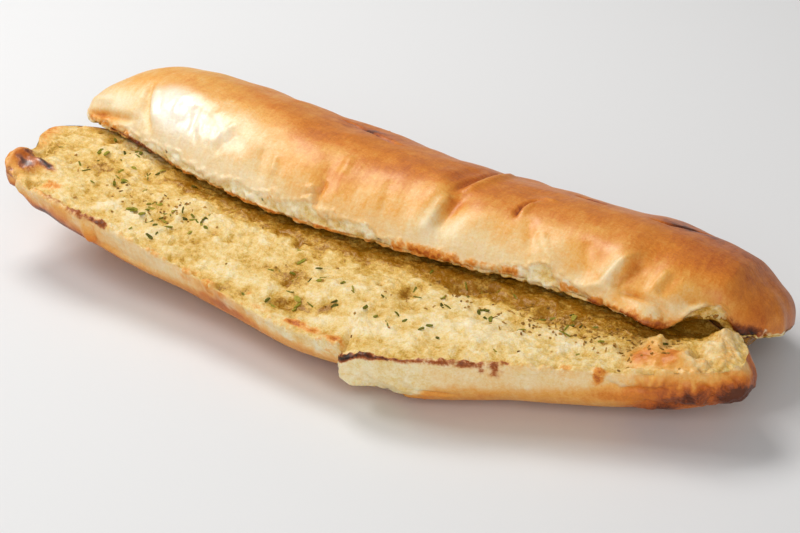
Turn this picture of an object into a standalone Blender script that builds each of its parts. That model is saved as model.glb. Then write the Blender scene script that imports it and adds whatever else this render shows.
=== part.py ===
"""Garlic bread: a long soft roll split lengthwise, buttered, sprinkled with herbs, toasted.

The bottom half lies with its cut face up. The top half has slid back: its front rim
rests on the cut face of the bottom half, and its back rim comes down to the surface
behind. Metres, +Z up, +X along the roll, +Y to the back. The origin lies on the resting
surface, at the middle of the roll's box.
"""
import math
import random

import bmesh
import bpy
import numpy as np
from mathutils import Matrix, Vector

MM = 0.001

# The middle of the finished roll's box, in the frame that the lines below are drawn in
BOX_MIDDLE = (2.8 * MM, 0.4 * MM)

# Where each half ends along the roll, and how bluntly it closes at its left and right end
BOTTOM_ENDS = (-137.5 * MM, 142.8 * MM)
BOTTOM_END_WIDTH = (6.0, 3.2)
BOTTOM_END_DEPTH = (3.4, 4.5)
END_WALL = 0.35
TOP_ENDS = (-132.0 * MM, 138.5 * MM)
TOP_END_WIDTH = (9.0, 3.6)
TOP_END_HEIGHT = (3.4, 2.8)

# The bottom half's right end stands out in a bow, furthest at one height, and its left
# end has a torn notch
BOW_DEPTH = 8 * MM
BOW_Z = 17 * MM
BOW_SIZE = 12 * MM
BOW_ZONE = 20 * MM
NOTCH_DEPTH = 6 * MM
NOTCH_Y = -19 * MM
NOTCH_WIDTH = 9 * MM

# Stations along the roll, and the roll's lines at each of them, all in millimetres
STATION_X = (-142, -110, -75, -40, -5, 30, 65, 100, 142)
BOTTOM_FRONT_Y = (-38, -41, -44, -49, -57, -59, -52, -43, -33)
BOTTOM_FRONT_Z = (33, 30, 26, 22, 19.5, 20.5, 22.5, 23.5, 25)
BOTTOM_BACK_Y = (11, 15, 18, 19, 18, 19, 21, 20, 7)
BOTTOM_BACK_Z = (33, 31, 27, 24, 23, 23, 23, 23, 24)
BOTTOM_DEPTH = (17, 19.5, 22, 23.8, 22.2, 22.8, 23.6, 22.5, 22)
SIDE_SQUARENESS = (2.4, 2.3, 2.2, 2.0, 2.0, 2.2, 2.6, 2.5, 2.3)
CUT_CROWN = (1, 2, 3, 4, 5, 4, 3, 2, 1)
TOP_FRONT_Y = (7, 4, -5, -11, -12, -11, -9, -12, -2)
TOP_BACK_Y = (60, 61, 62, 62, 62, 62, 62, 61, 58)
TOP_BACK_Z = (16, 13, 7, 2, 0, 0, 0, 2, 6)
TOP_HEIGHT = (26, 31, 31.8, 30.8, 29.4, 27, 27, 28.8, 25.5)
TOP_SQUARENESS = 2.3

# The torn flap of the front wall: where it starts, and how far it stands out and up
FLAP_X = 24 * MM
FLAP_FADE_X = 40 * MM
FLAP_END_X = 78 * MM
FLAP_OUT = 5.0 * MM
FLAP_UP = 1.2 * MM
FLAP_SQUARE = 0.4
FLAP_WIDTH = 14 * MM
FLAP_TEAR = 3 * MM

# Gap under the top half, its arch and its drooping tip at the right, and its rim's crumb
CONTACT_GAP = 1.0 * MM
ARCH_X = 121 * MM
ARCH_LENGTH = 9 * MM
ARCH_LIFT = 5.0 * MM
TIP_X = 132 * MM
TIP_DROOP = 5.0 * MM
RIM_BAND = 3.2 * MM

# Swellings (x, y, radius x, radius y, height) of the cut face, in millimetres
CUT_SWELLINGS = (
    (132, -7.5, 7, 8, 6.0),     # knob of torn crumb at the right end
    (122, -24, 10, 6, 3.0),     # crumb between the knob and the front rim
    (112, -19, 4, 7, 2.5),      # fold of buttery crumb
    (117, 2, 12, 7, -5.0),      # hollow behind the knob
    (-133, -27, 5, 5, 4.5),     # burnt chunk at the left end
    (-123, -26.5, 6, 3.5, 3.0), # its tail
    (-118, -36, 5, 4, -2.5),    # torn dip in front of it
    (-2, -48, 9, 5, -1.8),      # golden pit near the front
    (45, -16, 10, 4, -1.6),     # hollow under the rim of the top half
    (60, -38, 16, 8, 1.2),
    (-52, -20, 18, 9, 1.2),
    (-85, -12, 12, 8, -1.0),
    (15, -35, 14, 8, 1.0),
)

# Swellings (x, angle, radius x, radius angle, height) of the top crust. The angle runs
# over the dome from 0 degrees at the front rim to 180 at the back rim.
CRUST_SWELLINGS = (
    (20, 45, 4.5, 38, 1.4),     # ridge of the cross score
    (29, 40, 4.5, 26, -1.6),    # its valley
    (48, 70, 5, 18, -0.9),      # small slit
    (90, 35, 5, 40, 1.5),       # second ridge
    (100, 30, 5, 30, -1.5),     # its valley
    (-102, 18, 3.5, 26, -1.5),  # crease behind the blunt tip
    (-88, 40, 12, 30, 1.2),     # swelling beside the crease
    (-28, 112, 16, 9, 1.6),     # burst seams along the back
    (34, 112, 8, 8, 1.4),
    (93, 120, 13, 9, 1.6),
    (-18, 26, 4, 16, -1.2),     # small crease at the front
    (68, 22, 6, 12, 1.2),       # lump of crumb at the rim
    (106, 8, 12, 12, 3.0),      # folded lip
    (123, 8, 8, 16, -3.0),      # bare crumb beside the lip
    (60, 60, 25, 40, 0.6),
    (-60, 90, 30, 40, 0.6),
)

# Low unevenness of the torn crumb and of the crust, and of each half's ends
CRUMB_WAVE = 23 * MM
CRUMB_RELIEF = 0.5 * MM
CRUST_WAVE = 41 * MM
CRUST_RELIEF = 0.5 * MM
DOME_RADIUS = 25 * MM
BOTTOM_RAGGED = 1.2 * MM
TOP_RAGGED = 0.8 * MM
TEAR_LENGTH = 24 * MM

# Mesh density
END_ZONE = 15 * MM
END_RINGS = 6
MIDDLE_RINGS = 46
FIRST_RING = 0.25 * MM
ROW_POINTS = 20
WELD = 0.001 * MM

# Herb flakes stuck in the butter of the cut face
FLAKE_COUNT = 120
FLAKE_SEED = 11
FLAKE_LENGTH = (2.0 * MM, 3.6 * MM)
FLAKE_WIDTH = (1.0 * MM, 1.6 * MM)
FLAKE_THICK = 1.3 * MM
FLAKE_PROUD = 0.6 * MM
FLAKE_SPACING = 4.2 * MM
FLAKE_MARGIN = 5 * MM
SLOPE_STEP = 1 * MM


def along(values, x):
    """A smooth line through one row of station values, read at x."""
    at = np.asarray(STATION_X) * MM
    v = np.asarray(values, float)
    slope = np.gradient(v, at)
    x = np.clip(x, at[0], at[-1])
    i = np.clip(np.searchsorted(at, x) - 1, 0, len(at) - 2)
    span = at[i + 1] - at[i]
    t = (x - at[i]) / span
    rise = (2 * t**3 - 3 * t**2 + 1) * v[i] + (3 * t**2 - 2 * t**3) * v[i + 1]
    bend = (t**3 - 2 * t**2 + t) * slope[i] + (t**3 - t**2) * slope[i + 1]
    return rise + span * bend


def ease(x, start, end):
    """0 before start, 1 after end, smooth between."""
    t = np.clip((x - start) / (end - start), 0, 1)
    return t * t * (3 - 2 * t)


def end_closing(x, ends, powers):
    """1 along the roll, falling to 0 at each end as a superellipse of that end's power."""
    middle = (ends[0] + ends[1]) / 2
    u = np.clip((x - middle) / (ends[1] - middle), -1, 1)
    power = np.where(u < 0, powers[0], powers[1])
    return (1 - np.abs(u) ** power) ** (1 / power)


def swelling(a, b, swellings, a_unit, b_unit):
    """The sum of round swellings at the place (a, b)."""
    total = 0.0 * a
    for at_a, at_b, size_a, size_b, height in swellings:
        far = ((a / a_unit - at_a) / size_a) ** 2 + ((b / b_unit - at_b) / size_b) ** 2
        total = total + height * MM * np.exp(-far)
    return total


def ripple(a, b, length):
    """Gentle unevenness between -1 and 1, from crossing waves of about this length."""
    k = 2 * math.pi / length
    one = np.sin(k * (a + 0.35 * b) + 1.3) * np.cos(k * (0.8 * b - 0.25 * a))
    two = np.sin(k * 1.7 * (0.6 * a - b) + 0.4) * np.cos(k * 1.3 * (a + 0.5 * b) + 2.1)
    return 0.6 * one + 0.4 * two


def flap(x):
    """1 along the torn flap, 0 elsewhere; it starts at a sharp tear and dies away."""
    tear = ease(x, FLAP_X - FLAP_TEAR / 2, FLAP_X + FLAP_TEAR / 2)
    return tear * (1 - ease(x, FLAP_FADE_X, FLAP_END_X))


def bottom_rims(x):
    """The front and back rim of the bottom half, before its ends close."""
    front = along(BOTTOM_FRONT_Y, x) * MM - FLAP_OUT * flap(x)
    back = along(BOTTOM_BACK_Y, x) * MM
    return front, back


def cut_height(x, y):
    """The height of the cut face of the bottom half."""
    front = along(BOTTOM_FRONT_Y, x) * MM
    back = along(BOTTOM_BACK_Y, x) * MM
    t = np.clip((y - front) / (back - front), 0, 1)
    low = along(BOTTOM_FRONT_Z, x) * MM
    high = along(BOTTOM_BACK_Z, x) * MM
    crown = along(CUT_CROWN, x) * MM * 4 * t * (1 - t)
    raised = FLAP_UP * flap(x) * (1 - ease(y, front, front + FLAP_WIDTH))
    return low + (high - low) * t + crown + raised + swelling(x, y, CUT_SWELLINGS, MM, MM)


def crumb_relief(x, y):
    """The low unevenness of the torn crumb."""
    return CRUMB_RELIEF * ripple(x, y, CRUMB_WAVE)


def bottom_section(x):
    """One section of the bottom half: its crust, and its cut face."""
    front, back = bottom_rims(x)
    middle = (front + back) / 2
    half = (back - front) / 2 * end_closing(x, BOTTOM_ENDS, BOTTOM_END_WIDTH)
    closing = end_closing(x, BOTTOM_ENDS, BOTTOM_END_DEPTH)
    depth = (along(BOTTOM_DEPTH, x) * MM + FLAP_UP * flap(x)) * closing
    power = 2 / (along(SIDE_SQUARENESS, x) + FLAP_SQUARE * flap(x))
    angle = np.linspace(0, math.pi, ROW_POINTS)
    c, s = np.cos(angle), np.clip(np.sin(angle), 0, 1)
    y = middle - half * np.sign(c) * np.abs(c) ** power
    t = (y - middle) / half / 2 + 0.5
    front_z = cut_height(x, middle - half)
    back_z = cut_height(x, middle + half)
    sink = s**power
    sink[1:-1] += (1 - sink[1:-1]) * END_WALL * (1 - closing)
    level = cut_height(np.full_like(y, x), y)
    z = level + sink * (front_z + (back_z - front_z) * t - depth - level)
    crust = np.stack([y, np.maximum(z, 0)], axis=1)
    face = np.stack([y, level + sink * closing * crumb_relief(x, y)], axis=1)
    return crust, face


def top_lift(x):
    """The gap between the top half and the cut face: wide at the hollow by the knob."""
    arch = np.exp(-(((x - ARCH_X) / ARCH_LENGTH) ** 2))
    return CONTACT_GAP + ARCH_LIFT * arch - TIP_DROOP * ease(x, TIP_X, TOP_ENDS[1])


def top_underside(x, y):
    """The underside of the top half: along the cut face, then down behind the bottom."""
    front, back = bottom_rims(x)
    rear = along(TOP_BACK_Y, x) * MM
    over = cut_height(x, np.minimum(y, back)) + top_lift(x)
    t = np.clip((y - back) / (rear - back), 0, 1)
    return over + (np.maximum(along(TOP_BACK_Z, x), 0) * MM - over) * t


def top_section(x):
    """One section of the top half: its crust, and its underside."""
    front = along(TOP_FRONT_Y, x) * MM
    rear = along(TOP_BACK_Y, x) * MM
    middle = (front + rear) / 2
    half = (rear - front) / 2 * end_closing(x, TOP_ENDS, TOP_END_WIDTH)
    band = RIM_BAND * end_closing(x, TOP_ENDS, TOP_END_HEIGHT)
    start = np.array([middle - half, top_underside(x, middle - half) + band])
    stop = np.array([middle + half, top_underside(x, middle + half)])
    chord = stop - start
    length = np.hypot(*chord)
    outward = np.array([-chord[1], chord[0]]) / length
    height = along(TOP_HEIGHT, x) * MM * end_closing(x, TOP_ENDS, TOP_END_HEIGHT)
    angle = np.linspace(0, math.pi, ROW_POINTS)
    c, s = -np.cos(angle), np.clip(np.sin(angle), 0, 1)
    power = 2 / TOP_SQUARENESS
    across = np.sign(c) * np.abs(c) ** power
    up = s**power
    crust = (start + stop) / 2 + np.outer(across, chord / 2) + np.outer(up * height, outward)
    normal = np.stack([across * length / 2 * outward[1] + up * height * outward[0],
                       -across * length / 2 * outward[0] + up * height * outward[1]], axis=1)
    normal /= np.linalg.norm(normal, axis=1)[:, None]
    uneven = swelling(np.full_like(angle, x), angle, CRUST_SWELLINGS, MM, math.pi / 180)
    uneven = uneven + CRUST_RELIEF * ripple(x, angle * DOME_RADIUS, CRUST_WAVE)
    fade = end_closing(x, TOP_ENDS, TOP_END_HEIGHT) * np.clip((math.pi - angle) * 2, 0, 1)
    crust = crust + normal * (uneven * fade)[:, None]
    crust[:, 1] = np.maximum(crust[:, 1], 0)
    y = middle + half * across
    face = np.stack([y, top_underside(np.full_like(y, x), y)], axis=1)
    crust[-1] = face[-1]
    return crust, face


def station_positions(ends):
    """Ring positions from one end to the other, closer together where the end closes."""
    steps = FIRST_RING + (END_ZONE - FIRST_RING) * (np.arange(END_RINGS) / END_RINGS) ** 2
    middle = np.linspace(ends[0] + END_ZONE, ends[1] - END_ZONE, MIDDLE_RINGS)
    return np.concatenate([ends[0] + steps, middle, (ends[1] - steps)[::-1]])


def bottom_draw_in(x, loop):
    """How far the points (y, z) of one section shift along the roll near the ends."""
    at_left = 1 - ease(x, BOTTOM_ENDS[0], BOTTOM_ENDS[0] + END_ZONE)
    at_right = ease(x, BOTTOM_ENDS[1] - BOW_ZONE, BOTTOM_ENDS[1])
    notch = NOTCH_DEPTH * np.exp(-(((loop[:, 0] - NOTCH_Y) / NOTCH_WIDTH) ** 2))
    bow = BOW_DEPTH * (1 - np.exp(-(((loop[:, 1] - BOW_Z) / BOW_SIZE) ** 2)))
    return at_left * notch - at_right * bow


def loft(name, ends, section, ragged, draw_in=None):
    """A closed body through the sections of one half, its ends ragged and drawn in.

    A section is two rows of points from front rim to back rim, one over the crust and
    one over the cut face, with rungs between them closing each end.
    """
    mesh = bmesh.new()
    rings = []
    for x in station_positions(ends):
        crust, face = section(x)
        loop = np.concatenate([crust, face[::-1]])
        at_end = 1 - ease(x, ends[0], ends[0] + END_ZONE) + ease(x, ends[1] - END_ZONE, ends[1])
        shift = at_end * ragged * ripple(loop[:, 0], 0.5 * loop[:, 1], TEAR_LENGTH)
        if draw_in:
            shift = shift + draw_in(x, loop)
        rings.append([mesh.verts.new((x + d, y, z)) for d, (y, z) in zip(shift, loop)])
    size = len(rings[0])
    for left, right in zip(rings, rings[1:]):
        for i in range(size):
            j = (i + 1) % size
            mesh.faces.new((left[i], right[i], right[j], left[j]))
    for ring in (rings[0], rings[-1]):
        for i in range(size // 2 - 1):
            mesh.faces.new((ring[i], ring[i + 1], ring[size - 2 - i], ring[size - 1 - i]))
    bmesh.ops.remove_doubles(mesh, verts=mesh.verts, dist=WELD)
    bmesh.ops.recalc_face_normals(mesh, faces=mesh.faces)
    data = bpy.data.meshes.new(name)
    mesh.to_mesh(data)
    mesh.free()
    return bpy.data.objects.new(name, data)


def crust_material(name, color, roughness):
    """A baked crust or crumb finish."""
    material = bpy.data.materials.new(name)
    material.use_nodes = True
    shader = material.node_tree.nodes["Principled BSDF"]
    shader.inputs["Base Color"].default_value = (*color, 1)
    shader.inputs["Roughness"].default_value = roughness
    shader.inputs["Metallic"].default_value = 0.0
    return material


def flake_places():
    """Seeded places for the herb flakes on the part of the cut face that lies open."""
    draw = random.Random(FLAKE_SEED)
    places = []
    while len(places) < FLAKE_COUNT:
        x = draw.uniform(BOTTOM_ENDS[0] + 2 * FLAKE_MARGIN, BOTTOM_ENDS[1] - 5 * FLAKE_MARGIN)
        front, _ = bottom_rims(x)
        covered = along(TOP_FRONT_Y, x) * MM
        y = draw.uniform(front + FLAKE_MARGIN, covered - 0.5 * FLAKE_MARGIN)
        apart = min((math.hypot(x - a, y - b) for a, b in places), default=1)
        if apart > FLAKE_SPACING:
            places.append((x, y))
    return places


def herb_flakes():
    """Small flat flakes, each sunk half into the butter, in a collection of their own."""
    draw = random.Random(FLAKE_SEED + 1)
    flakes = bpy.data.collections.new("herb_flakes")
    for number, (x, y) in enumerate(flake_places()):
        size = Vector((draw.uniform(*FLAKE_LENGTH), draw.uniform(*FLAKE_WIDTH), FLAKE_THICK))
        turn = draw.uniform(0, math.pi)
        rise_x = cut_height(x + SLOPE_STEP, y) - cut_height(x - SLOPE_STEP, y)
        rise_y = cut_height(x, y + SLOPE_STEP) - cut_height(x, y - SLOPE_STEP)
        up = Vector((-rise_x, -rise_y, 2 * SLOPE_STEP)).normalized()
        lie = Vector((0, 0, 1)).rotation_difference(up).to_matrix().to_4x4()
        z = cut_height(x, y) + crumb_relief(x, y) + FLAKE_PROUD - FLAKE_THICK / 2
        place = Matrix.Translation((x, y, z)) @ lie @ Matrix.Rotation(turn, 4, "Z")
        mesh = bmesh.new()
        bmesh.ops.create_cube(mesh, size=1, matrix=place @ Matrix.Diagonal((*size, 1)))
        data = bpy.data.meshes.new(f"flake_{number}")
        mesh.to_mesh(data)
        mesh.free()
        flakes.objects.link(bpy.data.objects.new(f"flake_{number}", data))
    return flakes


def fuse(body, flakes):
    """Join a collection of small bodies to one body, and remove them."""
    union = body.modifiers.new("flakes", "BOOLEAN")
    union.operation = "UNION"
    union.operand_type = "COLLECTION"
    union.collection = flakes
    union.solver = "EXACT"
    bpy.context.view_layer.update()
    shape = bpy.data.meshes.new_from_object(
        body.evaluated_get(bpy.context.evaluated_depsgraph_get()))
    body.modifiers.remove(union)
    body.data = shape
    for flake in list(flakes.objects):
        bpy.data.objects.remove(flake)
    bpy.data.collections.remove(flakes)


for old in list(bpy.data.objects):
    bpy.data.objects.remove(old)

bread = bpy.data.collections.new("garlic_bread")
bpy.context.scene.collection.children.link(bread)

bottom_half = loft("bottom_half", BOTTOM_ENDS, bottom_section, BOTTOM_RAGGED, bottom_draw_in)
bottom_half.data.materials.append(crust_material("buttered_crumb", (0.72, 0.52, 0.20), 0.6))
bread.objects.link(bottom_half)
flake_collection = herb_flakes()
bpy.context.scene.collection.children.link(flake_collection)
fuse(bottom_half, flake_collection)

top_half = loft("top_half", TOP_ENDS, top_section, TOP_RAGGED)
top_half.data.materials.append(crust_material("golden_crust", (0.56, 0.25, 0.06), 0.35))
bread.objects.link(top_half)
to_origin = Matrix.Translation((-BOX_MIDDLE[0], -BOX_MIDDLE[1], 0))
for half in (bottom_half, top_half):
    half.data.transform(to_origin)
    half.data.shade_smooth()
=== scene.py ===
"""Garlic bread: both halves of a split, buttered and toasted roll, with its herbs.

The new pieces lie where the frame has the two solid halves. Lengths here are metres, and
the lines of the roll are millimetres until its mesh is written.
"""
import math
import random

import bpy
import numpy as np
from mathutils import Matrix, Vector, noise
from mathutils.bvhtree import BVHTree


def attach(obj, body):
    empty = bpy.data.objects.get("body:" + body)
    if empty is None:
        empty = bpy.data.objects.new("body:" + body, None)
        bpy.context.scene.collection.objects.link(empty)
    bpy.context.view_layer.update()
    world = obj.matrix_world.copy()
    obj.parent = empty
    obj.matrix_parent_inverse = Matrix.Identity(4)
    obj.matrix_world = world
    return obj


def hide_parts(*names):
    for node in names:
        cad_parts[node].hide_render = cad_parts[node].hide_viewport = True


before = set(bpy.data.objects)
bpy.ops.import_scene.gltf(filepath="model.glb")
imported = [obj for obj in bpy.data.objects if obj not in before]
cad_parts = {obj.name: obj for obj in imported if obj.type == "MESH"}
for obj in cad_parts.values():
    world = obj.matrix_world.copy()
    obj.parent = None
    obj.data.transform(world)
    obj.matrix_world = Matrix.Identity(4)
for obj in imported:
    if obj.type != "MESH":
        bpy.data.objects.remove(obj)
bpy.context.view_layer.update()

# --- Floor, light and camera --------------------------------------------------------
# The roll lies on a plain pale floor. Two soft lights hang over its left end, one of them
# a little behind it, and a wider one fills from the front right, as in a bright kitchen.

TARGET = Vector((-0.0073, 0.0246, 0))
CAMERA_TURN = math.radians(30)
CAMERA_RISE = math.radians(29.3)
CAMERA_REACH = 0.7473
LENS = 94.5
FLOOR_SIZE = 6
FLOOR_ROUGHNESS = 0.6
ROOM_LIGHT = 0.26


def linear(red, green, blue):
    """A colour given as on a screen, 0 to 255, as linear light."""
    return tuple(((c / 255 + 0.055) / 1.055) ** 2.4 for c in (red, green, blue)) + (1,)


def plain_material(name, color, roughness):
    material = bpy.data.materials.new(name)
    material.use_nodes = True
    shader = material.node_tree.nodes["Principled BSDF"]
    shader.inputs["Base Color"].default_value = color
    shader.inputs["Roughness"].default_value = roughness
    return material


def soft_light(name, place, size, power, color):
    bpy.ops.object.light_add(type="AREA", location=place)
    light = bpy.context.object
    light.name = name
    light.data.size = size
    light.data.energy = power
    light.data.color = color
    light.rotation_euler = (TARGET - light.location).to_track_quat("-Z", "Y").to_euler()


bpy.ops.object.select_all(action="DESELECT")
bpy.ops.mesh.primitive_plane_add(size=FLOOR_SIZE)
floor = bpy.context.object
floor.name = "floor"
floor_finish = plain_material("pale_floor", linear(228, 229, 231), FLOOR_ROUGHNESS)
floor.data.materials.append(floor_finish)

soft_light("key", Vector((-0.42, 0.24, 0.74)), 0.36, 3.8, (1.0, 0.98, 0.95))
soft_light("window", Vector((-0.68, -0.17, 0.69)), 0.30, 2.9, (1.0, 0.99, 0.97))
soft_light("fill", Vector((0.55, -1.00, 0.62)), 1.0, 7.5, (1.0, 0.99, 0.97))

world = bpy.data.worlds.new("soft_room")
world.use_nodes = True
room = world.node_tree.nodes["Background"]
room.inputs["Color"].default_value = (1.0, 0.985, 0.96, 1)
room.inputs["Strength"].default_value = ROOM_LIGHT
bpy.context.scene.world = world
bpy.context.scene.view_settings.view_transform = "Standard"

away = Vector((math.sin(CAMERA_TURN) * math.cos(CAMERA_RISE),
               -math.cos(CAMERA_TURN) * math.cos(CAMERA_RISE), math.sin(CAMERA_RISE)))
bpy.ops.object.camera_add(location=TARGET + CAMERA_REACH * away)
camera = bpy.context.object
camera.rotation_euler = (-away).to_track_quat("-Z", "Y").to_euler()
camera.data.lens = LENS
camera.data.clip_start = 0.01
bpy.context.scene.camera = camera

# --- Bottom half --------------------------------------------------------------------
# The lower half of a long soft white roll, split with a knife and pulled open. Its cut
# face is torn crumb soaked with garlic butter and toasted, its side is thin pale crust,
# and one stretch of the side has torn loose as a flap with a burnt edge.

MM = 0.001
# The middle of the roll's box, in the frame that its lines are drawn in
BOX_MIDDLE = (2.8, 0.4)

# Its two ends, and how squarely it closes there in width and in depth
BOTTOM_ENDS = (-137.5, 142.8)
BOTTOM_END_WIDTH = (6.0, 3.2)
BOTTOM_END_DEPTH = (3.4, 4.5)
# How much of each end stands upright
END_WALL = 0.35

# The right end stands out in a bow, furthest at one height; the left end has a torn notch
BOW_DEPTH = 8
BOW_Z = 17
BOW_SIZE = 12
BOW_ZONE = 20
NOTCH_DEPTH = 6
NOTCH_Y = -19
NOTCH_WIDTH = 9

# Stations along the roll, with the rims, depth, side and cut face at each of them
STATION_X = (-142, -110, -75, -40, -5, 30, 65, 100, 142)
BOTTOM_FRONT_Y = (-38, -41, -44, -49, -57, -59, -52, -43, -33)
BOTTOM_FRONT_Z = (33, 30, 26, 22, 19.5, 20.5, 22.5, 23.5, 25)
BOTTOM_BACK_Y = (11, 15, 18, 19, 18, 19, 21, 20, 7)
BOTTOM_BACK_Z = (33, 31, 27, 24, 23, 23, 23, 23, 24)
BOTTOM_DEPTH = (17, 19.5, 22, 23.8, 22.2, 22.8, 23.6, 22.5, 22)
SIDE_SQUARENESS = (2.4, 2.3, 2.2, 2.0, 2.0, 2.2, 2.6, 2.5, 2.3)
CUT_CROWN = (1, 2, 3, 4, 5, 4, 3, 2, 1)

# The torn flap in the front side starts at a sharp tear, stands out and up, and dies away
FLAP_X = 24
FLAP_FADE_X = 40
FLAP_END_X = 78
FLAP_OUT = 5.0
FLAP_UP = 1.2
FLAP_SQUARE = 0.4
FLAP_WIDTH = 14
FLAP_TEAR = 3

# Swellings (x, y, radius x, radius y, height) of the cut face
CUT_SWELLINGS = (
    (132, -7.5, 7, 8, 6.0),
    (122, -24, 10, 6, 3.0),
    (112, -19, 4, 7, 2.5),
    (117, 2, 12, 7, -5.0),
    (-133, -27, 5, 5, 4.5),
    (-123, -26.5, 6, 3.5, 3.0),
    (-118, -36, 5, 4, -2.5),
    (-2, -48, 9, 5, -1.8),
    (45, -16, 10, 4, -1.6),
    (60, -38, 16, 8, 1.2),
    (-52, -20, 18, 9, 1.2),
    (-85, -12, 12, 8, -1.0),
    (15, -35, 14, 8, 1.0),
)

# Finer folds and pits of the cut face than the solid has
FINE_SWELLINGS = (
    (-6, -47, 3.5, 2.2, -1.6),
    (8, -46, 6, 3, -0.9),
    (41, -15, 3, 2, -2.0),
    (50, -11, 3, 2, -2.4),
    (109, -9, 6, 5, -2.2),
    (30, -27, 2.5, 5, -1.0),
    (120, -13, 3, 3, 1.0),
    (134.5, -15.5, 3, 3, 1.8),
    (131, -23, 3.2, 2.6, 1.9),
    (138, -20, 2.5, 3, 1.2),
    (-127, -30, 3, 2.5, 1.4),
    (-122, -31, 2.5, 2.5, -1.6),
    (-66, -38, 4, 2.5, 0.8),
    (-84, -33, 5, 2.5, 0.8),
)

# How ragged the ends are, over which length, and the length of one tear
BOTTOM_RAGGED = 1.2
END_ZONE = 15
TEAR_LENGTH = 24

# Mesh density: rings along the roll, and points over the cut face and round the crust
RINGS = 430
FACE_POINTS = 132
CRUST_POINTS = 86
OUTLINE_STEPS = 361
# The rings are spaced as on a half of this half width and depth
BOTTOM_SECTION = (28, 22)


def along(values, x):
    """A smooth line through one row of station values, read at x."""
    at = np.asarray(STATION_X, float)
    v = np.asarray(values, float)
    slope = np.gradient(v, at)
    x = np.clip(x, at[0], at[-1])
    i = np.clip(np.searchsorted(at, x) - 1, 0, len(at) - 2)
    span = at[i + 1] - at[i]
    t = (x - at[i]) / span
    rise = (2 * t**3 - 3 * t**2 + 1) * v[i] + (3 * t**2 - 2 * t**3) * v[i + 1]
    bend = (t**3 - 2 * t**2 + t) * slope[i] + (t**3 - t**2) * slope[i + 1]
    return rise + span * bend


def ease(x, start, end):
    """0 before start, 1 after end, smooth between."""
    t = np.clip((x - start) / (end - start), 0, 1)
    return t * t * (3 - 2 * t)


def end_closing(x, ends, powers):
    """1 along the roll, falling to 0 at each end as a superellipse of that end's power."""
    middle = (ends[0] + ends[1]) / 2
    u = np.clip((x - middle) / (ends[1] - middle), -1, 1)
    power = np.where(u < 0, powers[0], powers[1])
    return (1 - np.abs(u) ** power) ** (1 / power)


def blots(a, b, table):
    """The sum of round blots (a, b, radius a, radius b, amount) at the place (a, b)."""
    total = np.zeros(np.broadcast(a, b).shape)
    for at_a, at_b, size_a, size_b, amount in table:
        total = total + amount * np.exp(-(((a - at_a) / size_a) ** 2) - ((b - at_b) / size_b) ** 2)
    return total


def ripple(a, b, length):
    """Gentle unevenness between -1 and 1, from crossing waves of about this length."""
    k = 2 * math.pi / length
    one = np.sin(k * (a + 0.35 * b) + 1.3) * np.cos(k * (0.8 * b - 0.25 * a))
    two = np.sin(k * 1.7 * (0.6 * a - b) + 0.4) * np.cos(k * 1.3 * (a + 0.5 * b) + 2.1)
    return 0.6 * one + 0.4 * two


def flap(x):
    """1 along the torn flap, 0 elsewhere; it starts at a sharp tear and dies away."""
    tear = ease(x, FLAP_X - FLAP_TEAR / 2, FLAP_X + FLAP_TEAR / 2)
    return tear * (1 - ease(x, FLAP_FADE_X, FLAP_END_X))


def bottom_rims(x):
    """The front and back rim of the bottom half, before its ends close."""
    return along(BOTTOM_FRONT_Y, x) - FLAP_OUT * flap(x), along(BOTTOM_BACK_Y, x)


def cut_height(x, y):
    """The height of the cut face of the bottom half."""
    front = along(BOTTOM_FRONT_Y, x)
    back = along(BOTTOM_BACK_Y, x)
    t = np.clip((y - front) / (back - front), 0, 1)
    low = along(BOTTOM_FRONT_Z, x)
    high = along(BOTTOM_BACK_Z, x)
    crown = along(CUT_CROWN, x) * 4 * t * (1 - t)
    raised = FLAP_UP * flap(x) * (1 - ease(y, front, front + FLAP_WIDTH))
    return low + (high - low) * t + crown + raised + blots(x, y, CUT_SWELLINGS)


def respaced(line, count, fineness):
    """The same line with count points, closer together where fineness is high.

    Its first two columns are y and z; any others go along with them.
    """
    step = np.hypot(*np.diff(line[:, :2], axis=0).T) * (fineness[1:] + fineness[:-1]) / 2
    run = np.concatenate([[0], np.cumsum(step)])
    at = np.linspace(0, run[-1], count)
    return np.stack([np.interp(at, run, column) for column in line.T], axis=1)


def runs(line):
    """The distance along a line to each of its points."""
    return np.concatenate([[0], np.cumsum(np.hypot(*np.diff(line[:, :2], axis=0).T))])


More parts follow.
